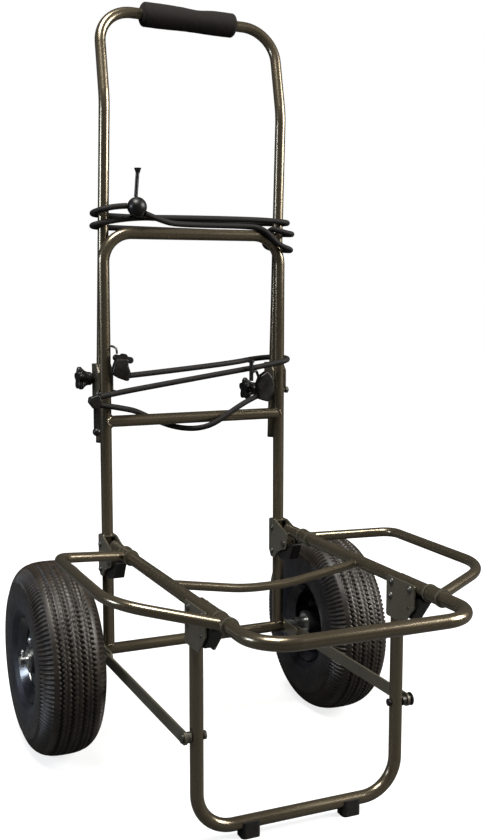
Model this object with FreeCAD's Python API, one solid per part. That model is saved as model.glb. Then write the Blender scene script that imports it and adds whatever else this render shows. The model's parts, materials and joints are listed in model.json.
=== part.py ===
"""Folding game cart: two pneumatic wheels, a telescoping U handle, a flat tubular
platform on a folding leg, and two swing-out side rests.

Axes while modelling: X across the cart, -Y forward (platform side), +Z up,
with the axle above the line x = y = 0.  save() then moves everything by
ORIGIN_SHIFT so that the origin is the middle of the foot-print box.
"""
import FreeCAD
import Part
import math
import os

os.makedirs("parts", exist_ok=True)
V = FreeCAD.Vector

# ---- driving dimensions, millimetres -------------------------------------
TYRE_R = 132.0            # 4.10/3.50-4 tyre, 264 mm over the tread
TYRE_HALF_W = 44.0
WHEEL_X = 212.0           # middle of each wheel
BEAD_R = 51.0             # 4 inch rim
AXLE_R = 6.0
HUB_HALF = 35.0
HUB_FLANGE_T = 3.0
DISC_DX = 22.0            # where the rim halves meet, outward of the wheel's middle
VALVE_ANGLE = math.radians(-59.0)
BOLT_CIRCLE_R = 29.0
AXLE_HALF = 259.0
HALF_GAUGE = 132.0        # uprights, rails and legs all stand at +- this
TUBE_R = 8.0
TUBE_WALL = 1.4
SLIM_R = 6.5              # side rests
SLIM_WALL = 1.2
BOW_R = 5.5
HANDLE_R = 7.5
HANDLE_WALL = 1.3
CORD_R = 4.0
FIT = 0.05                # radial play of a pin in its hole

HOOP_TOP_Z = 712.0
HOOP_CORNER_R = 40.0
CROSS_BAR_Z = 455.0
AXLE_Z = TYRE_R

HANDLE_Y = TUBE_R + HANDLE_R + 0.8
HANDLE_FOOT_Z = 424.0
HANDLE_BEND_Z = 888.0
HANDLE_TOP_Z = 1013.0
HANDLE_LEAN = math.radians(15.0)
HANDLE_ROLL = 1.4         # degrees of sideways lean that the clamps' play allows
HANDLE_ROLL_Z = 503.0
HANDLE_CORNER_R = 48.0
GRIP_HALF = 71.0
GRIP_R = 17.0

RAIL_Z = 287.0
RAIL_BACK_Y = -34.0
FRONT_BAR_Y = -506.0
PLATFORM_CORNER_R = 45.0
BOW_Y = -240.0
BOW_LOW_Z = 268.5
BOW_END_Z = 285.5

PIVOT_Z = RAIL_Z - 20.0   # both rail pivots sit 20 mm under the rail's middle
REAR_PIVOT_Y = -38.0
LEG_Y = -335.0
LEG_BAR_Z = 17.0
LEG_CORNER_R = 45.0
PIN_R = 3.0
PLATE_GAP = 8.4           # half the gap between a bracket's two plates
PLATE_T = 2.0

BRACE_X = 147.0
BRACE_HALF_H = 8.0
BRACE_T = 3.0
BRACE_PIN_R = 3.5

CLAMP_Z = {-1: 511.0, 1: 506.0}
KNOB_REACH = {-1: 4.5, 1: 19.5}    # bracket face to knob
KNOB_Z = {-1: 514.0, 1: 491.0}

ARM_REACH = 110.0         # side rest, rail axis to its outer bar
ARM_TILT = {-1: math.radians(10.0), 1: math.radians(5.0)}
ARM_BACK_Y = -93.0
ARM_FRONT_Y = -418.0
ARM_OUTER_BACK_Y = -143.0
ARM_OUTER_FRONT_Y = -360.0
SLEEVES = ((-103.6, -83.0), (-429.6, -407.0))
SLEEVE_R = 9.7
RING_R = 10.6
RINGS = (-107.0, -83.0, -433.0, -407.0)   # front face of each plastic ring
RING_T = 3.4

ORIGIN_SHIFT = V(0, (-(FRONT_BAR_Y - TUBE_R) - TYRE_R) / 2, 0)
SIDES = ((-1, "left"), (1, "right"))


# ---- small solid helpers --------------------------------------------------
def save(name, shape):
    """Move one sub-part into the part's own frame and write its STEP file."""
    moved = shape.copy()
    moved.translate(ORIGIN_SHIFT)
    moved.exportStep("parts/%s.step" % name)


def group(shapes):
    """Several separate solids that share one node."""
    return Part.makeCompound(shapes)


def rod_x(radius, x0, x1, y, z):
    return Part.makeCylinder(radius, x1 - x0, V(x0, y, z), V(1, 0, 0))


def rod_y(radius, y0, y1, x, z):
    return Part.makeCylinder(radius, y1 - y0, V(x, y0, z), V(0, 1, 0))


def rod_z(radius, z0, z1, x, y):
    return Part.makeCylinder(radius, z1 - z0, V(x, y, z0), V(0, 0, 1))


def rod(radius, start, end):
    return Part.makeCylinder(radius, (end - start).Length, start, end - start)


def ring_x(outer, inner, x0, x1, y, z):
    return rod_x(outer, x0, x1, y, z).cut(rod_x(inner, x0 - 1, x1 + 1, y, z))


def ring_y(outer, inner, y0, y1, x, z):
    return rod_y(outer, y0, y1, x, z).cut(rod_y(inner, y0 - 1, y1 + 1, x, z))


def plate_x(outline, x0, x1):
    """A flat plate standing across X, from an outline of (y, z) corners."""
    corners = [V(x0, y, z) for y, z in outline]
    face = Part.Face(Part.makePolygon(corners + corners[:1]))
    return face.extrude(V(x1 - x0, 0, 0))


def rounded_plate_x(outline, x0, x1, radius):
    """plate_x with its upright-running edges rounded."""
    plate = plate_x(outline, x0, x1)
    edges = [e for e in plate.Edges
             if abs(e.tangentAt(e.FirstParameter).x) > 0.99]
    return plate.makeFillet(radius, edges)


def mirror_x(shape):
    return shape.mirror(V(0, 0, 0), V(1, 0, 0))


def corner_arc(before, corner, after, radius):
    """Tangent points and middle of the arc that rounds one corner."""
    back = (before - corner).normalize()
    ahead = (after - corner).normalize()
    half = back.getAngle(ahead) / 2
    setback = radius / math.tan(half)
    middle = (back + ahead).normalize()
    centre = corner + middle * (radius / math.sin(half))
    return corner + back * setback, centre - middle * radius, corner + ahead * setback


def route_wire(points, radii):
    """Straight runs joined by tangent arcs; radii has one value per inner point."""
    edges = []
    cursor = points[0]
    for i, radius in enumerate(radii):
        start, middle, end = corner_arc(points[i], points[i + 1], points[i + 2], radius)
        if (start - cursor).Length > 1e-6:
            edges.append(Part.LineSegment(cursor, start).toShape())
        edges.append(Part.Arc(start, middle, end).toShape())
        cursor = end
    if (points[-1] - cursor).Length > 1e-6:
        edges.append(Part.LineSegment(cursor, points[-1]).toShape())
    return Part.Wire(edges)


def sweep(wire, radius):
    """A round bar along the wire."""
    first = wire.Edges[0]
    start = first.Vertexes[0].Point
    direction = first.tangentAt(first.FirstParameter)
    profile = Part.Wire(Part.makeCircle(radius, start, direction))
    return wire.makePipeShell([profile], True, False)


def tube(points, radii, radius, wall=0.0):
    """Bent tube; wall 0 makes it solid."""
    wire = route_wire(points, radii)
    outer = sweep(wire, radius)
    if wall == 0:
        return outer
    return outer.cut(sweep(wire, radius - wall))


def hex_x(across, x0, x1, y, z):
    """A hexagon nut or head across X."""
    r = across / math.sqrt(3)
    outline = [(y + r * math.cos(math.radians(60 * k)), z + r * math.sin(math.radians(60 * k)))
               for k in range(6)]
    return plate_x(outline, x0, x1)


def bolt_x(x0, x1, y, z, radius=PIN_R, across=9.0, head=3.2):
    """A bolt along X between faces x0 and x1, a domed head one end, a nut the other."""
    dome = Part.makeSphere(across * 0.62, V(x0 + across * 0.28, y, z))
    dome = dome.common(rod_x(across, x0 - head, x0, y, z))
    nut = hex_x(across, x1, x1 + head, y, z)
    return dome.fuse([rod_x(radius, x0 - 0.5, x1 + head + 1.5, y, z), nut])


def revolve_x(outline, x, z):
    """Turn an (offset along X, radius) outline about the axle line."""
    corners = [V(x + dx, 0, z + r) for dx, r in outline]
    face = Part.Face(Part.makePolygon(corners + corners[:1]))
    return face.revolve(V(x, 0, z), V(1, 0, 0), 360)


# ---- lower frame ----------------------------------------------------------
def lower_hoop():
    g = HALF_GAUGE
    points = [V(-g, 0, AXLE_Z), V(-g, 0, HOOP_TOP_Z), V(g, 0, HOOP_TOP_Z), V(g, 0, AXLE_Z)]
    hoop = tube(points, [HOOP_CORNER_R] * 2, TUBE_R, TUBE_WALL)
    hoop = hoop.cut(rod_x(TUBE_R, -g - 20, g + 20, 0, AXLE_Z))
    for side, _ in SIDES:
        for z in BRACKET_BOLT_Z + (CLAMP_Z[side] - 17,):
            hoop = hoop.cut(rod_x(PIN_R, side * g - 12, side * g + 12, 0, z))
    return hoop


def cross_bar():
    bar = rod_x(TUBE_R, -HALF_GAUGE, HALF_GAUGE, 0, CROSS_BAR_Z)
    bar = bar.cut(rod_x(TUBE_R - TUBE_WALL, -HALF_GAUGE, HALF_GAUGE, 0, CROSS_BAR_Z))
    for side, _ in SIDES:
        bar = bar.cut(rod_z(TUBE_R, CROSS_BAR_Z - 20, CROSS_BAR_Z + 20, side * HALF_GAUGE, 0))
    return max(bar.Solids, key=lambda s: s.Volume)


def axle_tube():
    half = HALF_GAUGE + TUBE_R
    return ring_x(TUBE_R, AXLE_R + 0.4, -half, half, 0, AXLE_Z)


def wheel_axle():
    """Steel rod with a cross hole near each end for its cotter."""
    axle = rod_x(AXLE_R, -AXLE_HALF, AXLE_HALF, 0, AXLE_Z)
    for side, _ in SIDES:
        axle = axle.cut(rod_z(1.6, AXLE_Z - 10, AXLE_Z + 10, side * (AXLE_HALF - 4), 0))
    return axle


def axle_spacers():
    """Plain sleeves that hold each wheel off the frame."""
    x0 = HALF_GAUGE + TUBE_R + BRACE_T + 0.2
    x1 = WHEEL_X - HUB_HALF - 0.4
    sleeve = ring_x(9.0, AXLE_R + FIT, x0, x1, 0, AXLE_Z)
    return group([sleeve, mirror_x(sleeve)])


def axle_washers():
    x0 = WHEEL_X + HUB_HALF + 0.4
    washer = ring_x(12.0, AXLE_R + FIT, x0, x0 + 2.0, 0, AXLE_Z)
    return [washer, mirror_x(washer)]


def axle_cotters():
    """Split pins through the axle ends: a leg each way and a bent eye."""
    pins = []
    for side, _ in SIDES:
        x = side * (AXLE_HALF - 4)
        shank = rod_z(1.5, AXLE_Z - 9, AXLE_Z + 9, x, 0)
        eye = Part.makeTorus(3.2, 1.2, V(x, 0, AXLE_Z + 11.5), V(1, 0, 0))
        pins.append(shank.fuse(eye))
    return pins


BRACKET_BOLT_Z = (249.0, 284.0)
REAR_PLATE = ((9.5, 297.0), (-12.0, 297.0), (-50.0, 284.5), (-52.0, 277.0), (-46.0, 261.0),
              (-30.0, 256.0), (-17.0, 250.0), (-9.0, 240.0), (3.0, 240.0), (9.5, 250.0))
REAR_LEVER_PIN = (-21.0, 252.0)


def rear_bracket(side):
    """Two cheek plates astride the upright, joined by a back web and a collar round the tube."""
    x = side * HALF_GAUGE
    cheeks = []
    for hand in (-1, 1):
        x0 = x + hand * PLATE_GAP
        plate = rounded_plate_x(REAR_PLATE, min(x0, x0 + hand * PLATE_T),
                                max(x0, x0 + hand * PLATE_T), 2.5)
        cheeks.append(plate)
    roof = Part.makeBox(2 * PLATE_GAP + 0.2, 18.5, 2.0, V(x - PLATE_GAP - 0.1, -9.0, 295.0))
    roof = roof.cut(rod_z(TUBE_R + 0.2, 290, 300, x, 0))
    back = Part.makeBox(2 * PLATE_GAP + 0.2, 1.5, 30, V(x - PLATE_GAP - 0.1, 8.0, 258.0))
    body = cheeks[0].fuse([cheeks[1], back] + roof.Solids)
    for y, z in [(0, z) for z in BRACKET_BOLT_Z] + [(REAR_PIVOT_Y, PIVOT_Z), REAR_LEVER_PIN]:
        radius = PIN_R if (y, z) != REAR_LEVER_PIN else 2.0
        body = body.cut(rod_x(radius, x - 15, x + 15, y, z))
    return body


def rear_bracket_bolts():
    half = PLATE_GAP + PLATE_T
    return ([bolt_x(side * HALF_GAUGE - half, side * HALF_GAUGE + half, 0, z)
             for side, _ in SIDES for z in BRACKET_BOLT_Z])


def rail_pivot_pins():
    """Shouldered rivets on which the rails fold up."""
    half = PLATE_GAP + PLATE_T
    pins = []
    for side, _ in SIDES:
        x = side * HALF_GAUGE
        pin = rod_x(PIN_R, x - half, x + half, REAR_PIVOT_Y, PIVOT_Z)
        heads = [rod_x(5.0, x - half - 1.6, x - half, REAR_PIVOT_Y, PIVOT_Z),
                 rod_x(5.0, x + half, x + half + 1.6, REAR_PIVOT_Y, PIVOT_Z)]
        pins.append(pin.fuse(heads))
    return pins


def lever_pins(places):
    half = PLATE_GAP + PLATE_T
    return [rod_x(2.0, side * HALF_GAUGE - half - 0.6, side * HALF_GAUGE + half + 0.6, y, z)
            for side, _ in SIDES for y, z in places]


def brace_lug(side):
    """A tongue on the axle tube's end that carries the brace's rear pin."""
    x0 = HALF_GAUGE + TUBE_R
    x1 = x0 + BRACE_T - 0.1
    eye = rod_x(11.0, x0, x1, 0, AXLE_Z)
    tip = rod_x(8.0, x0, x1, REAR_PIVOT_Y, AXLE_Z)
    web = Part.makeBox(x1 - x0, -REAR_PIVOT_Y, 16, V(x0, REAR_PIVOT_Y, AXLE_Z - 8))
    body = eye.fuse([tip, web]).cut(rod_x(AXLE_R + 0.2, x0 - 1, x1 + 1, 0, AXLE_Z))
    pin = rod_x(PIN_R, x0, BRACE_X + 2.2, REAR_PIVOT_Y, AXLE_Z)
    head = rod_x(5.5, BRACE_X + 1.8, BRACE_X + 4.0, REAR_PIVOT_Y, AXLE_Z)
    body = body.fuse([pin, head])
    return body if side > 0 else mirror_x(body)


# ---- handle and its clamps ------------------------------------------------
def handle_points():
    top_y = HANDLE_Y + (HANDLE_TOP_Z - HANDLE_BEND_Z) * math.tan(HANDLE_LEAN)
    return [V(-HALF_GAUGE, HANDLE_Y, HANDLE_FOOT_Z), V(-HALF_GAUGE, HANDLE_Y, HANDLE_BEND_Z),
            V(-HALF_GAUGE, top_y, HANDLE_TOP_Z), V(HALF_GAUGE, top_y, HANDLE_TOP_Z),
            V(HALF_GAUGE, HANDLE_Y, HANDLE_BEND_Z), V(HALF_GAUGE, HANDLE_Y, HANDLE_FOOT_Z)]


def roll_handle(shape):
    """Lean a handle piece sideways about the clamps."""
    shape.rotate(V(0, 0, HANDLE_ROLL_Z), V(0, 1, 0), HANDLE_ROLL)
    return shape


def handle_tube():
    radii = [90.0, HANDLE_CORNER_R, HANDLE_CORNER_R, 90.0]
    return roll_handle(tube(handle_points(), radii, HANDLE_R, HANDLE_WALL))


def foam_grip():
    """Soft sleeve on the top bar, rounded at both ends."""
    top = handle_points()[2]
    grip = rod_x(GRIP_R, -GRIP_HALF, GRIP_HALF, top.y, top.z)
    rims = [e for e in grip.Edges if e.Closed and abs(e.Curve.Radius - GRIP_R) < 0.01]
    grip = grip.makeFillet(6.0, rims)
    grip = grip.cut(rod_x(HANDLE_R, -GRIP_HALF - 1, GRIP_HALF + 1, top.y, top.z))
    return roll_handle(grip)


def handle_plugs():
    """Plastic glides pushed into the tube's two feet."""
    plugs = []
    for side, _ in SIDES:
        x = side * HALF_GAUGE
        cap = rod_z(HANDLE_R, HANDLE_FOOT_Z - 3, HANDLE_FOOT_Z, x, HANDLE_Y)
        stem = rod_z(HANDLE_R - HANDLE_WALL, HANDLE_FOOT_Z, HANDLE_FOOT_Z + 18, x, HANDLE_Y)
        plugs.append(roll_handle(cap.fuse(stem)))
    return group(plugs)


def clamp_bracket(side):
    """A U of sheet round the upright and the handle tube, closed at the back."""
    x = side * HALF_GAUGE
    z0 = CLAMP_Z[side] - 23
    back_y = HANDLE_Y + HANDLE_R + 0.6
    outer = Part.makeBox(2 * (PLATE_GAP + 2.4), back_y + 2.4 + 3, 46,
                         V(x - PLATE_GAP - 2.4, -3, z0))
    inner = Part.makeBox(2 * PLATE_GAP, back_y + 4, 48, V(x - PLATE_GAP, -4, z0 - 1))
    body = outer.cut(inner)
    slopes = plate_x(((-4, z0 - 1), (8, z0 - 1), (-4, z0 + 12)), x - 20, x + 20)
    body = body.cut([slopes, plate_x(((-4, z0 + 47), (8, z0 + 47), (-4, z0 + 34)), x - 20, x + 20)])
    body = body.cut(rod_x(PIN_R, x - 15, x + 15, 0, CLAMP_Z[side] - 17 + 0.0))
    return body.cut(rod_x(PIN_R + FIT, x - 20, x, HANDLE_Y, KNOB_Z[side]))


def clamp_bolts():
    half = PLATE_GAP + 2.4
    return [bolt_x(side * HALF_GAUGE - half, side * HALF_GAUGE + half, 0, CLAMP_Z[side] - 17)
            for side, _ in SIDES]


def clamp_knob(side):
    """Five-lobed hand knob with its screw, whose tip stops just off the handle tube."""
    x_face = side * HALF_GAUGE - PLATE_GAP - 2.4
    x1 = x_face - KNOB_REACH[side]
    y, z = HANDLE_Y, KNOB_Z[side]
    knob = rod_x(12.0, x1 - 20, x1, y, z)
    lobes = []
    for k in range(5):
        angle = math.radians(90 + 72 * k)
        lobes.append(rod_x(5.6, x1 - 19, x1 - 1.5, y + 11.6 * math.cos(angle),
                           z + 11.6 * math.sin(angle)))
    boss = rod_x(7.0, x1, x1 + 3, y, z)
    screw = rod_x(PIN_R, x1, side * HALF_GAUGE - HANDLE_R - 0.75, y, z)
    return knob.fuse(lobes + [boss, screw])


# ---- platform -------------------------------------------------------------
def platform_tube():
    g = HALF_GAUGE
    points = [V(-g, RAIL_BACK_Y, RAIL_Z), V(-g, FRONT_BAR_Y, RAIL_Z),
              V(g, FRONT_BAR_Y, RAIL_Z), V(g, RAIL_BACK_Y, RAIL_Z)]
    body = tube(points, [PLATFORM_CORNER_R] * 2, TUBE_R, TUBE_WALL)
    for side, _ in SIDES:
        for y, z in FRONT_BOLTS:
            body = body.cut(rod_x(PIN_R, side * g - 12, side * g + 12, y, z))
    return body


def bow_bar():
    """Slim cross bar that dips under the load between the rails."""
    points = [V(-HALF_GAUGE, BOW_Y, BOW_END_Z), V(-30, BOW_Y, BOW_LOW_Z),
              V(30, BOW_Y, BOW_LOW_Z), V(HALF_GAUGE, BOW_Y, BOW_END_Z)]
    bow = tube(points, [260.0] * 2, BOW_R)
    for side, _ in SIDES:
        bow = bow.cut(rod_y(TUBE_R, BOW_Y - 20, BOW_Y + 20, side * HALF_GAUGE, RAIL_Z))
    return max(bow.Solids, key=lambda s: s.Volume)


def rail_lug(side):
    """Solid tongue welded under the rail's end; the rear pivot pin runs through it."""
    x = side * HALF_GAUGE
    eye = rod_x(7.0, x - 6, x + 6, REAR_PIVOT_Y, PIVOT_Z)
    web = Part.makeBox(12, 14, 16, V(x - 6, REAR_PIVOT_Y - 7, PIVOT_Z))
    body = eye.fuse(web).cut(rod_x(PIN_R + FIT, x - 10, x + 10, REAR_PIVOT_Y, PIVOT_Z))
    return body.cut(rod_y(TUBE_R, -80, 0, x, RAIL_Z))


FRONT_BOLTS = ((-337.0, RAIL_Z - 2), (-377.0, RAIL_Z - 2))
FRONT_PLATE = ((-326.0, 291.5), (-388.0, 291.5), (-388.0, 264.0), (-366.0, 241.0),
               (-326.0, 241.0))
FRONT_LEVER_PIN = (-375.0, 262.0)


def front_bracket(side):
    """Two cheek plates bolted to the rail; the leg hinges between them."""
    x = side * HALF_GAUGE
    cheeks = []
    for hand in (-1, 1):
        x0 = x + hand * PLATE_GAP
        plate = rounded_plate_x(FRONT_PLATE, min(x0, x0 + hand * PLATE_T),
                                max(x0, x0 + hand * PLATE_T), 3.0)
        for y, z in FRONT_BOLTS + ((LEG_Y, PIVOT_Z),):
            plate = plate.cut(rod_x(PIN_R, x - 15, x + 15, y, z))
        cheeks.append(plate.cut(rod_x(2.0, x - 15, x + 15, *FRONT_LEVER_PIN)))
    return cheeks


def front_bracket_bolts():
    """Two clamping bolts through each rail and the leg's pivot bolt below them."""
    half = PLATE_GAP + PLATE_T
    places = FRONT_BOLTS + ((LEG_Y, PIVOT_Z),)
    return [bolt_x(side * HALF_GAUGE - half, side * HALF_GAUGE + half, y, z)
            for side, _ in SIDES for y, z in places]


def rail_rings():
    """Black plastic rings that keep each side rest's sleeve in its place."""
    return group([ring_y(RING_R, TUBE_R, y, y + RING_T, side * HALF_GAUGE, RAIL_Z)
                  for side, _ in SIDES for y in RINGS])


# ---- side rests -----------------------------------------------------------
def tilt_arm(shape, side):
    """Lift a level side rest by its resting tilt about its rail."""
    shape.rotate(V(side * HALF_GAUGE, 0, RAIL_Z), V(0, 1, 0), -side * math.degrees(ARM_TILT[side]))
    return shape


def side_rest_loop(side):
    """Three-sided bent tube whose two ends are coped to the sleeves on the rail."""
    x0 = side * (HALF_GAUGE + SLEEVE_R - 1.0)
    x1 = side * (HALF_GAUGE + ARM_REACH)
    points = [V(x0, ARM_BACK_Y, RAIL_Z), V(x1, ARM_OUTER_BACK_Y, RAIL_Z),
              V(x1, ARM_OUTER_FRONT_Y, RAIL_Z), V(x0, ARM_FRONT_Y, RAIL_Z)]
    points[0] += (points[0] - points[1]).normalize() * 9.0
    points[3] += (points[3] - points[2]).normalize() * 9.0
    loop = tube(points, [28.0, 72.0], SLIM_R, SLIM_WALL)
    for y0, y1 in SLEEVES:
        loop = loop.cut(rod_y(SLEEVE_R, y0 - 9, y1 + 9, side * HALF_GAUGE, RAIL_Z))
    return tilt_arm(max(loop.Solids, key=lambda s: s.Volume), side)


def side_rest_sleeves(side):
    return group([ring_y(SLEEVE_R, TUBE_R + FIT, y0 + 0.4, y1 - 0.4, side * HALF_GAUGE, RAIL_Z)
                  for y0, y1 in SLEEVES])


# ---- leg and braces -------------------------------------------------------
def leg_tube():
    g = HALF_GAUGE
    points = [V(-g, LEG_Y, PIVOT_Z), V(-g, LEG_Y, LEG_BAR_Z), V(g, LEG_Y, LEG_BAR_Z),
              V(g, LEG_Y, PIVOT_Z)]
    body = tube(points, [LEG_CORNER_R] * 2, TUBE_R, TUBE_WALL)
    for side, _ in SIDES:
        eye = Part.makeSphere(TUBE_R, V(side * g, LEG_Y, PIVOT_Z))
        collar = rod_z(TUBE_R - TUBE_WALL, PIVOT_Z - 12, PIVOT_Z, side * g, LEG_Y)
        body = body.fuse([eye, collar])
        body = body.cut(rod_x(PIN_R + FIT, side * g - 12, side * g + 12, LEG_Y, PIVOT_Z))
        body = body.cut(rod_x(PIN_R, side * g - 12, side * g + 12, LEG_Y, AXLE_Z))
    return body


def foot_pad(side):
    """Rubber shoe moulded round the underside of the leg's bottom bar."""
    half, height = 12.0, 20.0
    block = Part.makeBox(2 * half, 20, height, V(side * 67 - half, LEG_Y - 10, 0))
    edges = [e for e in block.Edges if abs(e.tangentAt(e.FirstParameter).z) > 0.99]
    block = block.makeFillet(5.0, edges)
    return block.cut(rod_x(TUBE_R, side * 67 - 30, side * 67 + 30, LEG_Y, LEG_BAR_Z))


def brace_spacers():
    x0 = HALF_GAUGE + TUBE_R
    spacer = ring_x(6.5, PIN_R, x0, BRACE_X - 1.8, LEG_Y, AXLE_Z)
    return group([spacer, mirror_x(spacer)])


def brace_bolt_left():
    x = HALF_GAUGE
    shank = rod_x(PIN_R, x - TUBE_R - 2.5, BRACE_X + 2.2, LEG_Y, AXLE_Z)
    nut = hex_x(9.0, x - TUBE_R - 3.2, x - TUBE_R, LEG_Y, AXLE_Z)
    head = rod_x(5.5, BRACE_X + 1.8, BRACE_X + 4.4, LEG_Y, AXLE_Z)
    return mirror_x(shank.fuse([nut, head]))


def leg_knob():
    """Round hand knob on the right brace's pin, with a turned rim."""
    x = HALF_GAUGE
    shank = rod_x(PIN_R - FIT, x - TUBE_R - 2.5, BRACE_X + 2.2, LEG_Y, AXLE_Z)
    stop = rod_x(4.5, x - TUBE_R - 3.4, x - TUBE_R - 0.4, LEG_Y, AXLE_Z)
    grip = rod_x(6.6, BRACE_X + 2.0, BRACE_X + 4.4, LEG_Y, AXLE_Z)
    rim = rod_x(8.4, BRACE_X + 4.4, BRACE_X + 7.0, LEG_Y, AXLE_Z)
    return shank.fuse([stop, grip, rim])


def brace(side):
    """Flat bar from the axle end to the leg, rounded at both ends."""
    x0 = BRACE_X - BRACE_T / 2
    x1 = BRACE_X + BRACE_T / 2
    bar = Part.makeBox(BRACE_T, REAR_PIVOT_Y - LEG_Y, 2 * BRACE_HALF_H,
                       V(x0, LEG_Y, AXLE_Z - BRACE_HALF_H))
    ends = [rod_x(BRACE_HALF_H, x0, x1, y, AXLE_Z) for y in (LEG_Y, REAR_PIVOT_Y)]
    bar = bar.fuse(ends).removeSplitter()
    bar = bar.cut(rod_x(PIN_R + FIT, x0 - 1, x1 + 1, REAR_PIVOT_Y, AXLE_Z))
    bar = bar.cut(rod_x(BRACE_PIN_R, x0 - 1, x1 + 1, LEG_Y, AXLE_Z))
    return bar if side > 0 else mirror_x(bar)


def release_lever(outline, pin, side):
    """Moulded plastic trigger between a bracket's plates, turning on its pin."""
    x = side * HALF_GAUGE
    body = rounded_plate_x(outline, x - 7.0, x + 7.0, 2.0)
    return body.cut(rod_x(2.0 + FIT, x - 15, x + 15, *pin))


REAR_LEVER = ((-16.0, 257.0), (-30.0, 254.5), (-46.0, 258.0), (-53.0, 271.0), (-65.0, 271.5),
              (-52.0, 247.0), (-24.0, 240.0), (-12.5, 247.0))
FRONT_LEVER = ((-346.0, 256.0), (-362.0, 268.0), (-382.0, 275.5), (-401.0, 276.0),
               (-379.0, 249.0), (-350.0, 246.0))


# ---- wheels ---------------------------------------------------------------
def tyre(side):
    """Pneumatic tyre carcass: open at the bead, 8 mm thick at the crown."""
    outer = [(-24, BEAD_R), (-34, BEAD_R + 9), (-41, 76), (-TYRE_HALF_W, 92), (-43, 106),
             (-38.5, 119), (-30, 127), (-16, 131), (0, TYRE_R)]
    inner = [(0, TYRE_R - 8), (-15, 122.5), (-28, 118), (-35, 108), (-38.5, 93), (-36, 77),
             (-29, 64), (-20, BEAD_R)]
    outline = outer + [(-dx, r) for dx, r in reversed(outer[:-1])]
    outline += [(-dx, r) for dx, r in reversed(inner[1:])] + inner
    return revolve_x(outline, side * WHEEL_X, AXLE_Z)


def inner_tube(side):
    """Air tube filling the tyre, with 1 mm to spare all round."""
    outline = [(0, TYRE_R - 9.2), (-14, 121), (-27, 116.5), (-33.5, 107), (-37, 93), (-34.5, 78),
               (-27.5, 66), (-19, BEAD_R + 4), (0, BEAD_R + 4)]
    outline += [(-dx, r) for dx, r in reversed(outline[1:-1])]
    return revolve_x(outline, side * WHEEL_X, AXLE_Z)


def bolt_holes(shape, side):
    """Drill the four holes of the rim's bolt circle."""
    x = side * WHEEL_X
    for y, z in bolt_places():
        shape = shape.cut(rod_x(PIN_R, x - 45, x + 45, y, z))
    return shape


def bolt_places():
    angles = [math.radians(45 + 90 * k) for k in range(4)]
    return [(BOLT_CIRCLE_R * math.cos(a), AXLE_Z + BOLT_CIRCLE_R * math.sin(a)) for a in angles]


def rim_halves(side):
    """Split rim: a shallow outer dish and a deep inner one, bolted at DISC_DX."""
    d = DISC_DX
    outer = [(d, 19.5), (d, 50.5), (d + 2, 50.5), (34.0, 60.0), (36.5, 58.0),
             (26.5, 47.5), (d + 2.5, 47.0), (d + 2.5, 19.5)]
    inner = [(d, 19.5), (d, 50.5), (-24.0, 50.5), (-34.0, 60.0), (-36.5, 58.0),
             (-26.0, 47.5), (d - 2.5, 47.5), (d - 2.5, 19.5)]
    halves = [revolve_x([(side * dx, r) for dx, r in face], side * WHEEL_X, AXLE_Z)
              for face in (outer, inner)]
    return bolt_holes(group(halves), side)


def hub(side):
    """Barrel with a flange lying on the outer dish of the rim."""
    f0 = DISC_DX + 2.6
    f1 = f0 + HUB_FLANGE_T
    outline = [(-HUB_HALF, 17.5), (f0 - 8, 19.3), (f0, 19.3), (f0, 37), (f1, 37), (f1, 19.3),
               (HUB_HALF, 17.5), (HUB_HALF, 14), (HUB_HALF - 9, 14), (HUB_HALF - 9, 8.5),
               (9 - HUB_HALF, 8.5), (9 - HUB_HALF, 14), (-HUB_HALF, 14)]
    body = revolve_x([(side * dx, r) for dx, r in outline], side * WHEEL_X, AXLE_Z)
    return bolt_holes(body, side)


def bearings(side):
    """A flanged bearing in each end of the hub, running on the axle."""
    x = side * WHEEL_X
    seats = [ring_x(14.0, AXLE_R + FIT, x - HUB_HALF, x - HUB_HALF + 9, 0, AXLE_Z),
             ring_x(14.0, AXLE_R + FIT, x + HUB_HALF - 9, x + HUB_HALF, 0, AXLE_Z)]
    return group(seats)


def rim_bolts(side):
    """Four bolts whose nuts sit on the hub's flange, on the wheel's outer side."""
    x = side * WHEEL_X
    ends = sorted((x + side * (DISC_DX - 2.5), x + side * (DISC_DX + 2.6 + HUB_FLANGE_T)))
    return group([bolt_x(ends[0], ends[1], y, z, across=10.0) for y, z in bolt_places()])


def valve_stem(side):
    """Air valve: rubber foot and brass cap, leaning out of the rim's deep inner dish."""
    radial = V(0, math.cos(VALVE_ANGLE), math.sin(VALVE_ANGLE))
    foot = V(side * (WHEEL_X - 12), 0, AXLE_Z) + radial * 49.5
    direction = V(-side * 0.86, 0, 0) - radial * 0.51
    stem = Part.makeCylinder(2.9, 26, foot, direction)
    cap = Part.makeCylinder(3.9, 9, foot + direction * 18, direction)
    inside = rod_x(47.4, side * WHEEL_X - 60, side * WHEEL_X + 60, 0, AXLE_Z)
    return stem.fuse(cap).common(inside)


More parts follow.
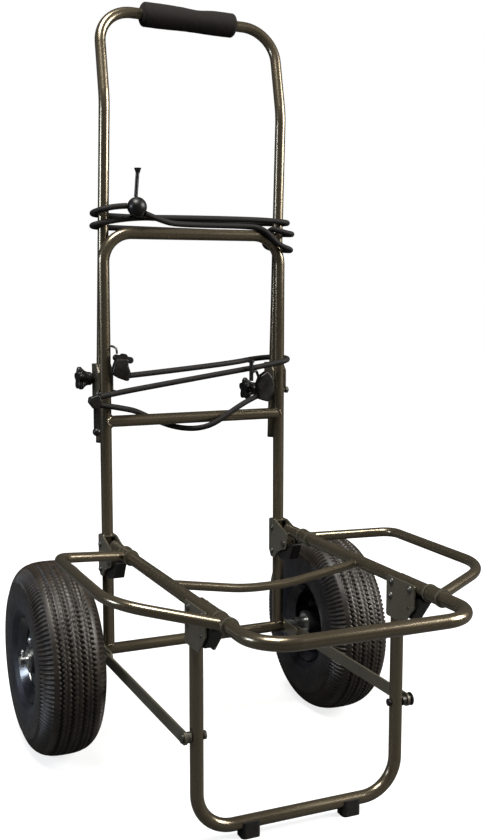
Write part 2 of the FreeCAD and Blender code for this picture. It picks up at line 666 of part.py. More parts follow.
# ---- elastic cords --------------------------------------------------------
TOP_BALL = V(-86, -8, 747)
TOP_BALL_R = 13.5
TOP_CORD = [V(-75, -9, 738.5), V(-48, -6, 728.5), V(-20, 3, 725.2), V(80, 4, 725.5),
            V(103, -11, 722), V(124, -13.5, 699), V(149, -14, 691), V(151, 30.5, 693),
            V(118, 31, 698), V(118, 1, 724.5), V(131, -14.5, 717), V(150, -14.5, 714),
            V(152, 30.5, 716), V(104, 30, 716.5), V(-94, 30, 720), V(-141, 30, 721),
            V(-142, 4, 723.5), V(-100, 4, 732), V(-56, 4, 734.4), V(100, 4, 735.2),
            V(152, 4, 732), V(152, 30, 731), V(102, 30, 731.5), V(-96, 30, 736),
            V(-141, 30, 737.5), V(-141, 2, 741), V(-116, -5, 747.5), V(-99.9, -8, 748)]
LOWER_CORD = [V(-101.4, -14, 518.8), V(-60, -10, 521.5), V(60, 4, 530.5), V(108, 30, 534.5),
              V(146, 31, 536), V(146, -15, 534.5), V(104, -16, 526.8), V(60, -16, 521),
              V(-70, -16, 503), V(-112, -16, 497), V(-144, -16, 491.5)]
SLACK_CORD = [V(-143.6, -15, 480), V(-124, -15, 476.5), V(-106, -10, 472.5), V(-92, 2, 468.8),
              V(-78, 12.5, 463.5), V(-62, 14, 455.5), V(-46, 14, 448), V(-28, 11, 441.5),
              V(-8, 2, 438.5), V(8, -8, 440.5), V(24, -14.5, 446.5), V(42, -16, 458),
              V(62, -16, 470), V(78, -14, 477.5), V(90.9, -13, 482.6)]
UPPER_HOOK = ((-121.0, 542.0), (-104.0, 542.0), (-104.4, 533.0), (-101.2, 523.3), (-104.4, 510.6),
              (-117.5, 515.6), (-127.8, 522.2), (-124.5, 533.0))
UPPER_LOBES = ((-119.2, 543.4), (-110.0, 544.4), (-102.0, 540.0))
LOWER_HOOK = ((-160.5, 484.0), (-159.5, 491.0), (-145.6, 495.0), (-143.2, 486.0), (-146.0, 475.0),
              (-153.5, 475.0))
RIGHT_HOOK = ((91.5, 479.0), (90.0, 500.0), (95.0, 512.0), (106.0, 519.0), (114.0, 508.0),
              (117.0, 489.0), (107.0, 474.0))
WRAP_R = 12.4


def cord_tube(name, points):
    """Cord solid; prints its arc radii and checks its volume against its length."""
    radii = []
    for before, corner, after in zip(points, points[1:], points[2:]):
        back, ahead = before - corner, after - corner
        half_turn = (math.pi - back.getAngle(ahead)) / 2
        shorter = min(back.Length, ahead.Length)
        radius = 0.45 * shorter / math.tan(half_turn)
        if half_turn > math.radians(30):
            radius = min(radius, WRAP_R)
        radii.append(radius)
    wire = route_wire(points, radii)
    solid = sweep(wire, CORD_R)
    expected = math.pi * CORD_R ** 2 * wire.Length
    print("%s: length %.0f mm, volume ratio %.4f, radii %s"
          % (name, wire.Length, solid.Volume / expected, " ".join("%.0f" % r for r in radii)))
    return solid


def top_ball():
    """Plastic ball the cord's two ends run into."""
    return Part.makeSphere(TOP_BALL_R, TOP_BALL)


def top_tail():
    """Knotted tail of the cord standing out of the ball, with a flared end."""
    base = TOP_BALL + V(-1.5, 0, TOP_BALL_R)
    tip = TOP_BALL + V(1.5, 0, 49)
    stem = rod(2.6, base, tip)
    flare = Part.makeCone(2.6, 5.0, 7, tip - V(0, 0, 4), V(0, 0, 1))
    return stem.fuse(flare)


def hook_body(outline, y0, y1):
    """Moulded cord end: a thick plate standing across Y from (x, z) corners, all edges soft."""
    corners = [V(x, y0, z) for x, z in outline]
    face = Part.Face(Part.makePolygon(corners + corners[:1]))
    block = face.extrude(V(0, y1 - y0, 0))
    upright = [e for e in block.Edges if abs(e.tangentAt(e.FirstParameter).y) > 0.99]
    block = block.makeFillet(3.0, upright)
    rims = [e for e in block.Edges if abs(e.tangentAt(e.FirstParameter).y) < 0.01
            and abs(e.tangentAt(e.LastParameter).y) < 0.01]
    return block.makeFillet(2.0, rims)


def upper_hook():
    """Moulded end with three rounded knuckles along its top."""
    body = hook_body(UPPER_HOOK, -21.0, -8.0)
    return body.fuse([rod_y(4.6, -20.2, -8.8, x, z) for x, z in UPPER_LOBES])


def upper_hook_wire():
    """Steel wire from the moulded end that catches on the side of the left upright."""
    points = [V(-119, -14, 548.8), V(-119.4, -13.5, 556), V(-122, -8, 558.5), V(-121.2, 4, 558.5)]
    return tube(points, [3.5, 4.5], 1.6)


def lower_hook():
    """Moulded end with its pull strap and bead."""
    body = hook_body(LOWER_HOOK, -21.0, -9.5)
    strap = Part.makeBox(8.0, 5.6, 32.0, V(-153.4, -17.8, 446))
    strap = strap.makeFillet(2.0, strap.Edges[:4])
    bead = Part.makeSphere(5.8, V(-149.4, -15, 443.5))
    return body.fuse([strap, bead])


def hook_toggle():
    """T-shaped toggle standing in front of the strands, its arm running to the hook."""
    bar = rod_z(3.0, 506, 534, 77, -24.5)
    head = rod_z(4.4, 532, 536, 77, -24.5)
    arm = tube([V(77, -24.5, 517), V(85, -23, 521.5), V(91.4, -18.5, 510)], [5.0], 2.0)
    return bar.fuse([head, arm])


def build():
    save("lower_hoop", lower_hoop())
    save("cross_bar", cross_bar())
    save("axle_tube", axle_tube())
    save("wheel_axle", wheel_axle())
    save("axle_spacers", axle_spacers())
    save("axle_retainers", group(axle_washers() + axle_cotters()))
    save("frame_bolts", group(rear_bracket_bolts() + rail_pivot_pins()
                              + lever_pins([REAR_LEVER_PIN]) + clamp_bolts()))
    save("rear_brackets", group([rear_bracket(side) for side, _ in SIDES]))
    save("front_brackets", group(front_bracket(-1) + front_bracket(1)))
    save("brace_lugs", group([brace_lug(side) for side, _ in SIDES]))
    save("handle_tube", handle_tube())
    save("foam_grip", foam_grip())
    save("handle_plugs", handle_plugs())
    save("platform_tube", platform_tube())
    save("bow_bar", bow_bar())
    save("rail_lugs", group([rail_lug(side) for side, _ in SIDES]))
    save("front_bracket_pins", group(front_bracket_bolts() + lever_pins([FRONT_LEVER_PIN])))
    save("rail_rings", rail_rings())
    save("leg_tube", leg_tube())
    save("foot_pads", group([foot_pad(side) for side, _ in SIDES]))
    save("brace_spacers", brace_spacers())
    save("brace_bolt_left", brace_bolt_left())
    save("leg_knob", leg_knob())
    for side, name in SIDES:
        save("clamp_bracket_" + name, clamp_bracket(side))
        save("clamp_knob_" + name, clamp_knob(side))
        save("brace_" + name, brace(side))
        save("side_rest_" + name, side_rest_loop(side))
        save("side_rest_sleeves_" + name, side_rest_sleeves(side))
        save("rear_lever_" + name, release_lever(REAR_LEVER, REAR_LEVER_PIN, side))
        save("front_lever_" + name, release_lever(FRONT_LEVER, FRONT_LEVER_PIN, side))
        save("tyre_" + name, tyre(side))
        save("inner_tube_" + name, inner_tube(side))
        save("rim_halves_" + name, rim_halves(side))
        save("hub_" + name, hub(side))
        save("bearings_" + name, bearings(side))
        save("rim_bolts_" + name, rim_bolts(side))
        save("valve_stem_" + name, valve_stem(side))
    save("top_cord", cord_tube("top_cord", TOP_CORD))
    save("top_ball", top_ball().fuse(top_tail()))
    save("lower_cord", cord_tube("lower_cord", LOWER_CORD))
    save("slack_cord", cord_tube("slack_cord", SLACK_CORD))
    save("upper_hook", upper_hook())
    save("upper_hook_wire", upper_hook_wire())
    save("lower_hook", lower_hook())
    save("right_hook", hook_body(RIGHT_HOOK, -20.0, -6.0))
    save("hook_toggle", hook_toggle())


build()
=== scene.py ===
"""Looks of the folding game cart: finishes for every CAD piece, treaded tyres, soft grip,
hand knobs, weld beads and elastic cords, set in a pale studio."""
import bpy
import json
import math
import numpy as np
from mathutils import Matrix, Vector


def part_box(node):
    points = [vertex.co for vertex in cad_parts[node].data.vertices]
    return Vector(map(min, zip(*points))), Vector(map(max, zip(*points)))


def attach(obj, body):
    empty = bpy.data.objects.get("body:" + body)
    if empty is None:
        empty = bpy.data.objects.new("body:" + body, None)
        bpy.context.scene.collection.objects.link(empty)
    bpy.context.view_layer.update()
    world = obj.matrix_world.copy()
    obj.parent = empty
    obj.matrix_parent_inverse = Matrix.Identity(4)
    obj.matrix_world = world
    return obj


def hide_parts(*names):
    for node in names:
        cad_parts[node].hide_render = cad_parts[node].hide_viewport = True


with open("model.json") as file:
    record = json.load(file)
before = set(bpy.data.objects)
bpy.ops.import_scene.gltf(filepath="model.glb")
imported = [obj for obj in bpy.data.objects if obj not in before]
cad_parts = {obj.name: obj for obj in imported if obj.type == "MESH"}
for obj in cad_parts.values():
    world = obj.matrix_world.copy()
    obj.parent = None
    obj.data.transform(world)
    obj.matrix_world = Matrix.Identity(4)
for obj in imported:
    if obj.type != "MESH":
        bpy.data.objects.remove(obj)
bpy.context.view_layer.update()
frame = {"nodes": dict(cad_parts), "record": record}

# ---- measures in metres, in the row frame --------------------------------
SHIFT = 0.191                 # axle line's place along Y
GAUGE = 0.132
AXLE_Z = 0.132
TYRE_R = 0.132
TYRE_HALF_W = 0.044
TYRE_MID_R = 0.0915           # radius at the middle of the tyre's section
TYRE_HALF_H = TYRE_R - TYRE_MID_R
TYRE_POWER = 2.8              # squareness of the section
WHEEL_X = 0.212
TUBE_R = 0.008
HANDLE_Y = SHIFT + 0.0163
HANDLE_TOP = (0.04979, 1.013)  # place of the top bar behind the axle line, and its height
HANDLE_ROLL = math.radians(1.4)
HANDLE_ROLL_Z = 0.503
GRIP_HALF = 0.071
CORD_D = 0.008
REPEATS = 120                 # tread pattern steps round the tyre
KNOB_Z = {"left": 0.514, "right": 0.491}
KNOB_R = 0.0168
KNOB_LENGTH = 0.020
SCREW_R = 0.0028
SCREW_PITCH = 0.00125
CLEAR = 0.0001                # step back from the faces of the CAD box
YARN_SCALE = 140.0
SIDES = ((-1, "left"), (1, "right"))


# ---- surfaces -------------------------------------------------------------
def grid_mesh(name, points, wrap_u=False, wrap_v=False, smooth=True, cap=False):
    """Mesh of quads over a grid of points (nu, nv, 3). UV runs 0..1 along each way."""
    nu, nv = points.shape[:2]
    iu = np.arange(nu if wrap_u else nu - 1)
    iv = np.arange(nv if wrap_v else nv - 1)
    u, v = np.meshgrid(iu, iv, indexing="ij")
    u1, v1 = (u + 1) % nu, (v + 1) % nv
    quads = np.stack([u * nv + v, u1 * nv + v, u1 * nv + v1, u * nv + v1], axis=-1).reshape(-1, 4)
    faces = quads.tolist()
    if cap:
        faces += [list(range(nv))[::-1], list(range((nu - 1) * nv, nu * nv))]
    mesh = bpy.data.meshes.new(name)
    mesh.from_pydata(points.reshape(-1, 3).tolist(), [], faces)
    uv = mesh.uv_layers.new(name="UVMap")
    corner = np.zeros(len(mesh.loops), dtype=np.int64)
    mesh.loops.foreach_get("vertex_index", corner)
    flat = np.stack([corner // nv / max(nu, 1), corner % nv / max(nv, 1)], axis=-1)
    uv.data.foreach_set("uv", flat.astype(np.float32).ravel())
    mesh.polygons.foreach_set("use_smooth", [smooth] * len(mesh.polygons))
    mesh.validate()
    obj = bpy.data.objects.new(name, mesh)
    bpy.context.scene.collection.objects.link(obj)
    return obj


def smooth_noise(u, v, seed, waves=5, low=1, high=9):
    """Sum of a few sine products with whole wave numbers in u and v, so it closes on itself."""
    rng = np.random.default_rng(seed)
    total = np.zeros_like(u)
    for _ in range(waves):
        a, b = rng.integers(low, high, 2)
        p, q = rng.uniform(0, 2 * np.pi, 2)
        total += np.sin(a * u + p) * np.sin(b * v + q)
    return total / waves


def section_point(t, half_w, centre_r, half_h, power):
    """Superellipse section: offset across and radius at angle t from the crown."""
    s, c = np.sin(t), np.cos(t)
    across = half_w * np.sign(s) * np.abs(s) ** (2 / power)
    radius = centre_r + half_h * np.sign(c) * np.abs(c) ** (2 / power)
    return across, radius


def band(x, centre, half, soft):
    """1 inside |x - centre| < half, falling to 0 over soft."""
    return np.clip((half + soft - np.abs(x - centre)) / soft, 0, 1)


def tread_depth(theta, across, radius):
    """Depth of the tread pattern: four narrow grooves with saw-tooth edges round the
    crown and a row of slots running down each shoulder, all repeating REPEATS times."""
    phase = (theta / (2 * np.pi) * REPEATS) % 1.0
    zig = np.abs(phase * 2 - 1) * 2 - 1
    depth = np.zeros_like(theta)
    for centre, sign in ((-0.0215, 1), (-0.0078, -1), (0.0078, 1), (0.0215, -1)):
        line = centre + sign * zig * 0.0012
        depth = np.maximum(depth, 0.0038 * band(across, line, 0.0011, 0.0009))
    for centre in (-0.0146, 0.0, 0.0146):
        line = centre + zig * 0.0009
        depth = np.maximum(depth, 0.0016 * band(across, line, 0.0003, 0.0009))
    slot_cut = band(phase, 0.5, 0.16, 0.14)
    shoulder = band(radius, 0.1160, 0.0085, 0.0012) * (np.abs(across) > 0.0295)
    return np.maximum(depth, 0.0024 * slot_cut * shoulder)


def tyre(side, name):
    """Section angle t by wheel angle theta: a superellipse section turned about the axle,
    lowered by the tread pattern on the crown and raised by thin rings on the sidewalls."""
    even = np.linspace(-0.9, 0.9, 64)
    crown = np.sign(even) * np.arcsin(np.abs(even) ** 1.4)
    flank = np.linspace(crown[-1], 2.62, 20)[1:]
    t = np.concatenate([-flank[::-1], crown, flank])
    across, radius = section_point(t, TYRE_HALF_W, TYRE_MID_R, TYRE_HALF_H, TYRE_POWER)
    theta = np.linspace(0, 2 * np.pi, 960, endpoint=False)
    th, ac = np.meshgrid(theta, across, indexing="ij")
    ra = np.broadcast_to(radius, th.shape).copy()
    tt = np.broadcast_to(t, th.shape)
    out_a, out_r = np.sin(tt) / TYRE_HALF_W, np.cos(tt) / TYRE_HALF_H
    norm = np.sqrt(out_a ** 2 + out_r ** 2)
    out_a, out_r = out_a / norm, out_r / norm
    lift = -tread_depth(th, ac, ra)
    for ring, rise in ((0.1030, 0.0012), (0.0945, 0.0006), (0.0800, 0.0005), (0.0700, 0.0012)):
        lift += rise * band(ra, ring, 0.0011, 0.0014) * (np.abs(ac) > 0.02)
    ac = ac + out_a * lift
    ra = ra + out_r * lift
    points = np.stack([side * WHEEL_X + ac, SHIFT + ra * np.cos(th), AXLE_Z + ra * np.sin(th)], -1)
    return grid_mesh("tyre_tread_" + name, points, wrap_u=True)


def grip():
    """Soft sleeve on the handle's top bar: a turned profile with rounded ends, slightly
    pressed in along its top, waisted by hand wear and roughened by shallow lumps."""
    centre = np.array((0.0, SHIFT + HANDLE_TOP[0], HANDLE_TOP[1]))
    s = np.linspace(-1, 1, 150)
    a = np.linspace(0, 2 * np.pi, 96, endpoint=False)
    ss, aa = np.meshgrid(s, a, indexing="ij")
    end = 1 - np.abs(ss)
    edge = np.clip(end / 0.085, 0, 1)
    radius = 0.0077 + (0.0168 - 0.0077) * np.sqrt(np.clip(1 - (1 - edge) ** 2, 0, 1))
    body = np.clip(end / 0.2, 0, 1)
    radius -= 0.0008 * body * np.cos(ss * 2.4) ** 2
    top = np.clip(np.cos(aa - np.pi / 2), 0, 1) ** 3
    radius -= 0.0018 * body * top * np.exp(-((ss - 0.18) / 0.22) ** 2)
    radius += 0.00022 * body * smooth_noise(aa, ss * 9, 4, waves=7)
    flat = np.stack([GRIP_HALF * ss * 0.999, radius * np.cos(aa), radius * np.sin(aa)], -1)
    return grid_mesh("foam_grip_soft", roll(centre + flat), wrap_v=True, cap=True)


def roll(points):
    """Lean points of the handle sideways about the clamps, as the handle itself leans."""
    c, s = math.cos(HANDLE_ROLL), math.sin(HANDLE_ROLL)
    x, z = points[..., 0], points[..., 2] - HANDLE_ROLL_Z
    return np.stack([x * c + z * s, points[..., 1], HANDLE_ROLL_Z - x * s + z * c], -1)


def star_knob(name):
    """Five-lobed hand knob: radius goes round as a rounded five-point wave, deepest in
    its middle, flaring to the outer face, with a shallow dish and a hub behind it."""
    lo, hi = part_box("clamp_knob_" + name)
    x0, x1 = lo[0], hi[0]
    y, z = HANDLE_Y, KNOB_Z[name]
    profile = np.array([[0.0000, 0.00], [0.0009, 0.35], [0.0006, 0.62], [0.0002, 0.86],
                        [0.0010, 0.955], [0.0024, 1.00], [0.0058, 0.98], [0.0078, 0.84],
                        [0.0110, 0.66], [0.0150, 0.56], [0.0192, 0.54], [0.0200, 0.46],
                        [0.0216, 0.42], [0.0229, 0.40], [0.0230, 0.19]])
    steps = np.linspace(0, len(profile) - 1, 90)
    along = np.interp(steps, np.arange(len(profile)), profile[:, 0])
    size = np.interp(steps, np.arange(len(profile)), profile[:, 1])
    a = np.linspace(0, 2 * np.pi, 140, endpoint=False)
    al, aa = np.meshgrid(along, a, indexing="ij")
    si = np.broadcast_to(size[:, None], aa.shape)
    wave = np.cos(5 * (aa - np.pi / 2))
    fade = np.clip((0.0165 - al) / 0.012, 0, 1)
    lobe = 1 - 0.17 * (1 - wave) * fade - 0.05 * np.clip(-wave, 0, 1) * fade
    radius = KNOB_R * si * np.where(si > 0.5, lobe, 1)
    points = np.stack([x0 + CLEAR + al, y + radius * np.cos(aa), z + radius * np.sin(aa)], -1)
    knob = grid_mesh("star_knob_" + name, points, wrap_v=True)
    screw_a = np.linspace(0, 2 * np.pi, 40, endpoint=False)
    run = np.linspace(x0 + CLEAR + KNOB_LENGTH, x1 - CLEAR, 160)
    rr, sa = np.meshgrid(run, screw_a, indexing="ij")
    thread = SCREW_R + 0.00022 * np.cos(rr / SCREW_PITCH * 2 * np.pi + sa)
    shank = np.stack([rr, y + thread * np.cos(sa), z + thread * np.sin(sa)], -1)
    screw = grid_mesh("knob_screw_" + name, shank, wrap_v=True, cap=True)
    return knob, screw


def round_knob():
    """Round knob and its pin in one turned profile: a stop, the shank through the leg,
    then a grip whose rim carries fine flutes, with a shallow dish in its face."""
    lo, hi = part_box("leg_knob")
    y, z = (lo[1] + hi[1]) / 2, (lo[2] + hi[2]) / 2
    x0, x1 = lo[0], hi[0]
    profile = np.array([[x0, 0.0001], [x0, 0.0040], [x0 + 0.0004, 0.0045], [x0 + 0.0026, 0.0045],
                        [x0 + 0.0030, 0.0042], [x0 + 0.0030, 0.0029], [x1 - 0.0048, 0.0029],
                        [x1 - 0.0048, 0.0060], [x1 - 0.0043, 0.0065], [x1 - 0.0034, 0.0062],
                        [x1 - 0.0027, 0.0067], [x1 - 0.0022, 0.0078], [x1 - 0.0016, 0.0083],
                        [x1 - 0.0007, 0.0083], [x1 - 0.0001, 0.0077], [x1 - 0.0002, 0.0066],
                        [x1 - 0.0008, 0.0054], [x1 - 0.0009, 0.0001]])
    steps = np.linspace(0, len(profile) - 1, 102)
    along = np.interp(steps, np.arange(len(profile)), profile[:, 0])
    size = np.interp(steps, np.arange(len(profile)), profile[:, 1])
    a = np.linspace(0, 2 * np.pi, 160, endpoint=False)
    al, aa = np.meshgrid(along, a, indexing="ij")
    rr = np.broadcast_to(size[:, None], aa.shape)
    rr = rr * (1 - 0.03 * (rr > 0.0074) * (0.5 - 0.5 * np.cos(32 * aa)))
    points = np.stack([al, y + rr * np.cos(aa), z + rr * np.sin(aa)], -1)
    return grid_mesh("round_knob_fluted", points, wrap_v=True)


def weld_ring(name, centre, along, about, ring_r, tube_r, bead):
    """Weld bead where a bar of radius tube_r meets a tube of radius ring_r: the meeting
    line of the two cylinders, thickened by a bead whose height ripples along it."""
    along = np.array(along, float)
    about = np.array(about, float)
    cross = np.cross(along, about)
    a = np.linspace(0, 2 * np.pi, 128, endpoint=False)
    b = np.linspace(0, 2 * np.pi, 10, endpoint=False)
    aa, bb = np.meshgrid(a, b, indexing="ij")
    ripple = bead * (1 + 0.18 * np.cos(26 * aa))
    rad = tube_r + ripple * 0.55 * np.cos(bb) + bead * 0.25
    side = rad * np.sin(aa)
    side_c = np.clip(side, -ring_r * 0.999, ring_r * 0.999)
    depth = np.sqrt(ring_r ** 2 - side_c ** 2) + ripple * 0.6 * np.sin(bb) + bead * 0.05
    base = np.array(centre, float)
    points = (base + depth[..., None] * along + (rad * np.cos(aa))[..., None] * about
              + side[..., None] * cross)
    return grid_mesh(name, points, wrap_u=True, wrap_v=True)


# ---- finishes -------------------------------------------------------------
class Finish:
    """A node material under construction."""

    def __init__(self, name):
        self.mat = bpy.data.materials.new(name)
        self.mat.use_nodes = True
        self.tree = self.mat.node_tree
        self.tree.nodes.clear()
        self.out = self.tree.nodes.new("ShaderNodeOutputMaterial")
        self.bsdf = self.tree.nodes.new("ShaderNodeBsdfPrincipled")
        self.tree.links.new(self.bsdf.outputs["BSDF"], self.out.inputs["Surface"])
        self.coords = self.tree.nodes.new("ShaderNodeTexCoord")

    def link(self, a, b):
        self.tree.links.new(a, b)

    def noise(self, scale, detail=3.0, rough=0.55, source="Object", stretch=None):
        node = self.tree.nodes.new("ShaderNodeTexNoise")
        node.inputs["Scale"].default_value = scale
        node.inputs["Detail"].default_value = detail
        node.inputs["Roughness"].default_value = rough
        vector = self.coords.outputs[source]
        if stretch is not None:
            mapping = self.tree.nodes.new("ShaderNodeMapping")
            mapping.inputs["Scale"].default_value = stretch
            self.link(vector, mapping.inputs["Vector"])
            vector = mapping.outputs["Vector"]
        self.link(vector, node.inputs["Vector"])
        return node.outputs["Fac"]

    def voronoi(self, scale):
        node = self.tree.nodes.new("ShaderNodeTexVoronoi")
        node.inputs["Scale"].default_value = scale
        self.link(self.coords.outputs["Object"], node.inputs["Vector"])
        return node.outputs["Distance"]

    def remap(self, value, lo, hi, a=0.0, b=1.0):
        node = self.tree.nodes.new("ShaderNodeMapRange")
        node.inputs["From Min"].default_value = lo
        node.inputs["From Max"].default_value = hi
        node.inputs["To Min"].default_value = a
        node.inputs["To Max"].default_value = b
        self.link(value, node.inputs["Value"])
        return node.outputs["Result"]

    def blend(self, factor, a, b):
        node = self.tree.nodes.new("ShaderNodeMix")
        node.data_type = "RGBA"
        node.inputs[6].default_value = (*a, 1)
        node.inputs[7].default_value = (*b, 1)
        self.link(factor, node.inputs[0])
        return node.outputs[2]

    def colour(self, factor, a, b):
        self.link(self.blend(factor, a, b), self.bsdf.inputs["Base Color"])

    def rough(self, value, a, b):
        self.link(self.remap(value, 0.3, 0.7, a, b), self.bsdf.inputs["Roughness"])

    def bump(self, height, strength, distance):
        node = self.tree.nodes.new("ShaderNodeBump")
        node.inputs["Strength"].default_value = strength
        node.inputs["Distance"].default_value = distance
        self.link(height, node.inputs["Height"])
        self.link(node.outputs["Normal"], self.bsdf.inputs["Normal"])
        return node

    def put(self, **values):
        for key, value in values.items():
            self.bsdf.inputs[key.replace("_", " ")].default_value = value
        return self


def frame_paint():
    f = Finish("frame_paint")
    flake = f.noise(2600, 1.0, 0.4)
    broad = f.noise(9, 2.0)
    f.colour(f.remap(flake, 0.35, 0.7), (0.066, 0.053, 0.032), (0.215, 0.177, 0.122))
    f.rough(broad, 0.20, 0.28)
    f.bump(f.noise(420, 2.0), 0.08, 0.0004)
    f.put(Metallic=0.80, Coat_Weight=0.35, Coat_Roughness=0.14)
    return f.mat


def bracket_paint():
    f = Finish("bracket_paint")
    flake = f.noise(2200, 1.0, 0.4)
    f.colour(f.remap(flake, 0.35, 0.7), (0.060, 0.054, 0.038), (0.16, 0.145, 0.108))
    f.rough(f.noise(22, 3.0), 0.30, 0.42)
    f.bump(f.noise(500, 2.0), 0.10, 0.0004)
    f.put(Metallic=0.55, Coat_Weight=0.35, Coat_Roughness=0.16)
    return f.mat


def zinc():
    f = Finish("zinc_plate")
    cloud = f.noise(160, 4.0)
    f.colour(f.remap(cloud, 0.3, 0.7), (0.46, 0.46, 0.45), (0.66, 0.66, 0.64))
    f.rough(cloud, 0.24, 0.40)
    f.bump(f.noise(1500, 2.0), 0.06, 0.0002)
    f.put(Metallic=1.0)
    return f.mat


def dark_steel():
    f = Finish("dark_steel")
    cloud = f.noise(160, 4.0)
    f.colour(f.remap(cloud, 0.3, 0.7), (0.050, 0.048, 0.042), (0.110, 0.104, 0.092))
    f.rough(cloud, 0.28, 0.42)
    f.bump(f.noise(1500, 2.0), 0.06, 0.0002)
    f.put(Metallic=0.8)
    return f.mat


def hub_dark():
    f = Finish("hub_dark")
    cloud = f.noise(90, 4.0)
    f.colour(f.remap(cloud, 0.3, 0.7), (0.020, 0.020, 0.021), (0.050, 0.050, 0.053))
    f.rough(cloud, 0.30, 0.46)
    f.bump(f.noise(900, 3.0), 0.12, 0.0003)
    f.put(Metallic=0.3)
    return f.mat


def rim_black():
    f = Finish("rim_black")
    cloud = f.noise(60, 3.0)
    f.colour(f.remap(cloud, 0.3, 0.7), (0.005, 0.005, 0.007), (0.014, 0.014, 0.018))
    f.rough(cloud, 0.14, 0.26)
    f.bump(f.noise(700, 2.0), 0.08, 0.0003)
    f.put(Metallic=0.0, Specular_IOR_Level=0.8)
    return f.mat


def tyre_rubber():
    """Brown-black tread with dust in it and a smoother sidewall whose black rubber carries a
    painted bluish reflection. The section's own place across the tyre (second UV) says which of
    the two a point is on."""
    f = Finish("tyre_rubber")
    split = f.tree.nodes.new("ShaderNodeSeparateXYZ")
    f.link(f.coords.outputs["UV"], split.inputs["Vector"])
    off = f.tree.nodes.new("ShaderNodeMath")
    off.operation = "SUBTRACT"
    f.link(split.outputs["Y"], off.inputs[0])
    off.inputs[1].default_value = 0.5
    away = f.tree.nodes.new("ShaderNodeMath")
    away.operation = "ABSOLUTE"
    f.link(off.outputs["Value"], away.inputs[0])
    # Sidewall mask: where the painted bluish reflection is laid over the black rubber.
    blue_reflection_mask = f.remap(away.outputs["Value"], 0.33, 0.40)
    cloud = f.remap(f.noise(45, 5.0, 0.65), 0.3, 0.72)
    tread = f.blend(cloud, (0.0070, 0.0046, 0.0032), (0.0270, 0.0195, 0.0135))
    # Sidewall colour: plain black rubber plus a painted bluish reflection.
    side = f.blend(cloud, (0.0038, 0.0040, 0.0062), (0.0165, 0.0168, 0.0225))
    mixed = f.tree.nodes.new("ShaderNodeMix")
    mixed.data_type = "RGBA"
    f.link(blue_reflection_mask, mixed.inputs[0])
    f.link(tread, mixed.inputs[6])
    f.link(side, mixed.inputs[7])
    f.link(mixed.outputs[2], f.bsdf.inputs["Base Color"])
    f.rough(f.noise(120, 3.0), 0.36, 0.52)
    f.bump(f.noise(1800, 3.0), 0.16, 0.0003)
    f.put(Specular_IOR_Level=0.42)
    return f.mat


def black_rubber():
    f = Finish("black_rubber")
    cloud = f.noise(150, 4.0)
    f.colour(f.remap(cloud, 0.3, 0.7), (0.0050, 0.0045, 0.0045), (0.0130, 0.0120, 0.0115))
    f.rough(cloud, 0.60, 0.80)
    f.put(Specular_IOR_Level=0.25)
    f.bump(f.noise(1200, 3.0), 0.2, 0.0004)
    return f.mat


def foam():
    f = Finish("foam")
    cell = f.voronoi(1100)
    cloud = f.noise(260, 5.0, 0.7)
    f.colour(f.remap(cloud, 0.3, 0.7), (0.0045, 0.0032, 0.0030), (0.0120, 0.0095, 0.0090))
    f.rough(cloud, 0.78, 0.95)
    f.bump(cell, 0.45, 0.0006)
    f.put(Specular_IOR_Level=0.16)
    return f.mat


def black_plastic():
    f = Finish("black_plastic")
    cloud = f.noise(80, 3.0)
    f.colour(f.remap(cloud, 0.3, 0.7), (0.0030, 0.0026, 0.0025), (0.0080, 0.0070, 0.0068))
    f.rough(cloud, 0.30, 0.44)
    f.bump(f.noise(2400, 2.0), 0.14, 0.0002)
    f.put(Specular_IOR_Level=0.28)
    return f.mat


def woven():
    """Elastic cord's sheath: two sets of diagonal yarns crossing round the cord."""
    f = Finish("woven_sheath")
    fibre = f.noise(1500, 3.0, 0.7)
    waves = []
    for turn in (-1, 1):
        mapping = f.tree.nodes.new("ShaderNodeMapping")
        mapping.inputs["Rotation"].default_value = (0.0, 0.6 * turn, 0.78 * turn)
        f.link(f.coords.outputs["Object"], mapping.inputs["Vector"])
        wave = f.tree.nodes.new("ShaderNodeTexWave")
        wave.inputs["Scale"].default_value = YARN_SCALE
        wave.inputs["Distortion"].default_value = 1.2
        wave.inputs["Detail"].default_value = 1.0
        f.link(mapping.outputs["Vector"], wave.inputs["Vector"])
        waves.append(wave.outputs["Fac"])
    both = f.tree.nodes.new("ShaderNodeMath")
    both.operation = "MAXIMUM"
    f.link(waves[0], both.inputs[0])
    f.link(waves[1], both.inputs[1])
    f.colour(f.remap(fibre, 0.3, 0.75), (0.0030, 0.0026, 0.0026), (0.0110, 0.0092, 0.0088))
    f.rough(fibre, 0.55, 0.8)
    f.bump(both.outputs["Value"], 0.35, 0.0006)
    f.put(Specular_IOR_Level=0.2)
    return f.mat


FINISHES = {
    "frame_paint": frame_paint(), "bracket_paint": bracket_paint(), "zinc": zinc(),
    "dark_steel": dark_steel(),
    "tyre": tyre_rubber(), "rim": rim_black(), "hub": hub_dark(),
    "black_rubber": black_rubber(), "foam": foam(), "black_plastic": black_plastic(),
    "cord": woven(),
}


def paint(obj, slot_name):
    obj.data.materials.clear()
    obj.data.materials.append(FINISHES[slot_name])
    return obj


def add(obj, slot_name, body, *stands_for):
    """Finish one new piece, let it ride on its body and stand for its CAD nodes."""
    paint(obj, slot_name)
    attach(obj, body)
    if stands_for:
        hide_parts(*stands_for)
    return obj


for entry in frame["record"]["subparts"]:
    paint(frame["nodes"][entry["node"]], entry["material_slot"])
paint(frame["nodes"]["rail_rings"], "bracket_paint")

